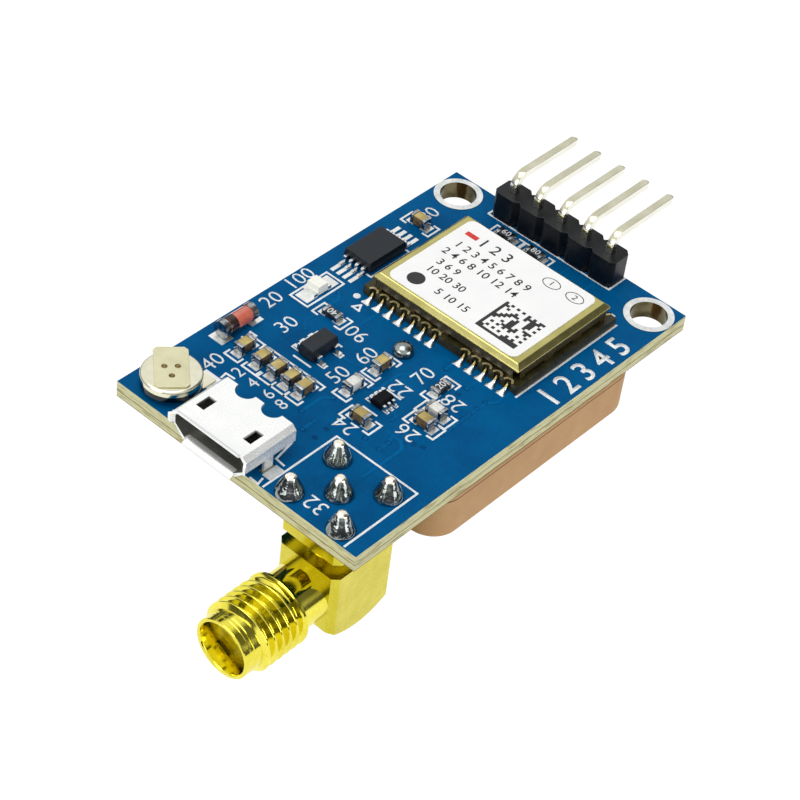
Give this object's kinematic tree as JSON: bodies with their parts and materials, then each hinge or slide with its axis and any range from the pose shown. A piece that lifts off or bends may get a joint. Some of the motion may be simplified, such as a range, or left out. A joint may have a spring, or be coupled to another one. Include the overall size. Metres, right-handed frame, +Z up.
{
  "type": "gps module",
  "caption": "Satellite positioning board with a ceramic patch antenna underneath, a right-angle coaxial socket, a micro USB port, a shielded receiver and a right-angle pin header.",
  "frame": {"origin": "midway between the two mounting holes, on the board's underside", "axes": "+X across the board from the left hole to the right one, +Y along the board out over the header pins, +Z up out of the component face"},
  "size_m": [0.0244, 0.0536, 0.016],
  "materials": {
    "black_plastic": "black moulded plastic",
    "board_blue": "glossy blue solder mask over glass-epoxy laminate",
    "capacitor_tan": "tan ceramic",
    "cell_steel": "nickel plated steel",
    "ceramic_tan": "unglazed tan ceramic",
    "chip_black": "black moulding compound",
    "diode_glass": "clear glass over copper-red studs",
    "filter_white": "pale ceramic",
    "gasket_dark": "dark sealing ring",
    "gold": "polished gold plating on brass",
    "inductor_white": "white ceramic",
    "insulator_white": "white plastic insulator",
    "label_white": "white paper label",
    "light_base": "white laminate",
    "light_white": "pale milky plastic",
    "oscillator_metal": "pale metal lid",
    "pellet_grey": "pressed grey powder",
    "pin_gold": "thin gold plating on square brass wire",
    "receiver_green": "dark green laminate",
    "resistor_black": "black glaze over white ceramic",
    "shell_steel": "tin plated steel sheet",
    "shield_brass": "satin nickel silver sheet",
    "silver": "fired silver film",
    "stud_red": "copper-red metal",
    "tape_white": "white foam tape",
    "tin": "bright tin plating and solder"
  },
  "bodies": {
    "root": {"amplifier_body": "chip_black", "amplifier_leads": "tin", "antenna_bump": "tin", "antenna_ceramic": "ceramic_tan", "antenna_feed_pin": "tin", "antenna_ground": "silver", "antenna_patch": "silver", "antenna_tape": "tape_white", "board_pads": "tin", "capacitors": "capacitor_tan", "cell_bottom_tab": "cell_steel", "cell_can": "cell_steel", "cell_cap": "cell_steel", "cell_gasket_ring": "gasket_dark", "cell_pellet": "pellet_grey", "cell_top_tab": "cell_steel", "chip_end_caps": "tin", "circuit_board": "board_blue", "coax_barrel": "gold", "coax_block": "gold", "coax_contact": "gold", "coax_insulator": "insulator_white", "coax_solder": "tin", "diode_ends": "tin", "diode_glass": "diode_glass", "diode_studs": "stud_red", "header_pin_1": "pin_gold", "header_pin_2": "pin_gold", "header_pin_3": "pin_gold", "header_pin_4": "pin_gold", "header_pin_5": "pin_gold", "header_solder": "tin", "header_strip": "black_plastic", "hole_ring_left": "tin", "hole_ring_right": "tin", "inductors": "inductor_white", "light_base": "light_base", "light_ends": "tin", "light_lens": "light_white", "memory_body": "chip_black", "memory_leads": "tin", "receiver_board": "receiver_green", "receiver_chip": "chip_black", "receiver_filter": "filter_white", "receiver_label": "label_white", "receiver_oscillator": "oscillator_metal", "receiver_shield": "shield_brass", "receiver_solder": "tin", "regulator_body": "chip_black", "regulator_leads": "tin", "resistors": "resistor_black", "usb_contacts": "gold", "usb_shell": "shell_steel", "usb_tongue": "black_plastic"}
  },
  "joints": []
}
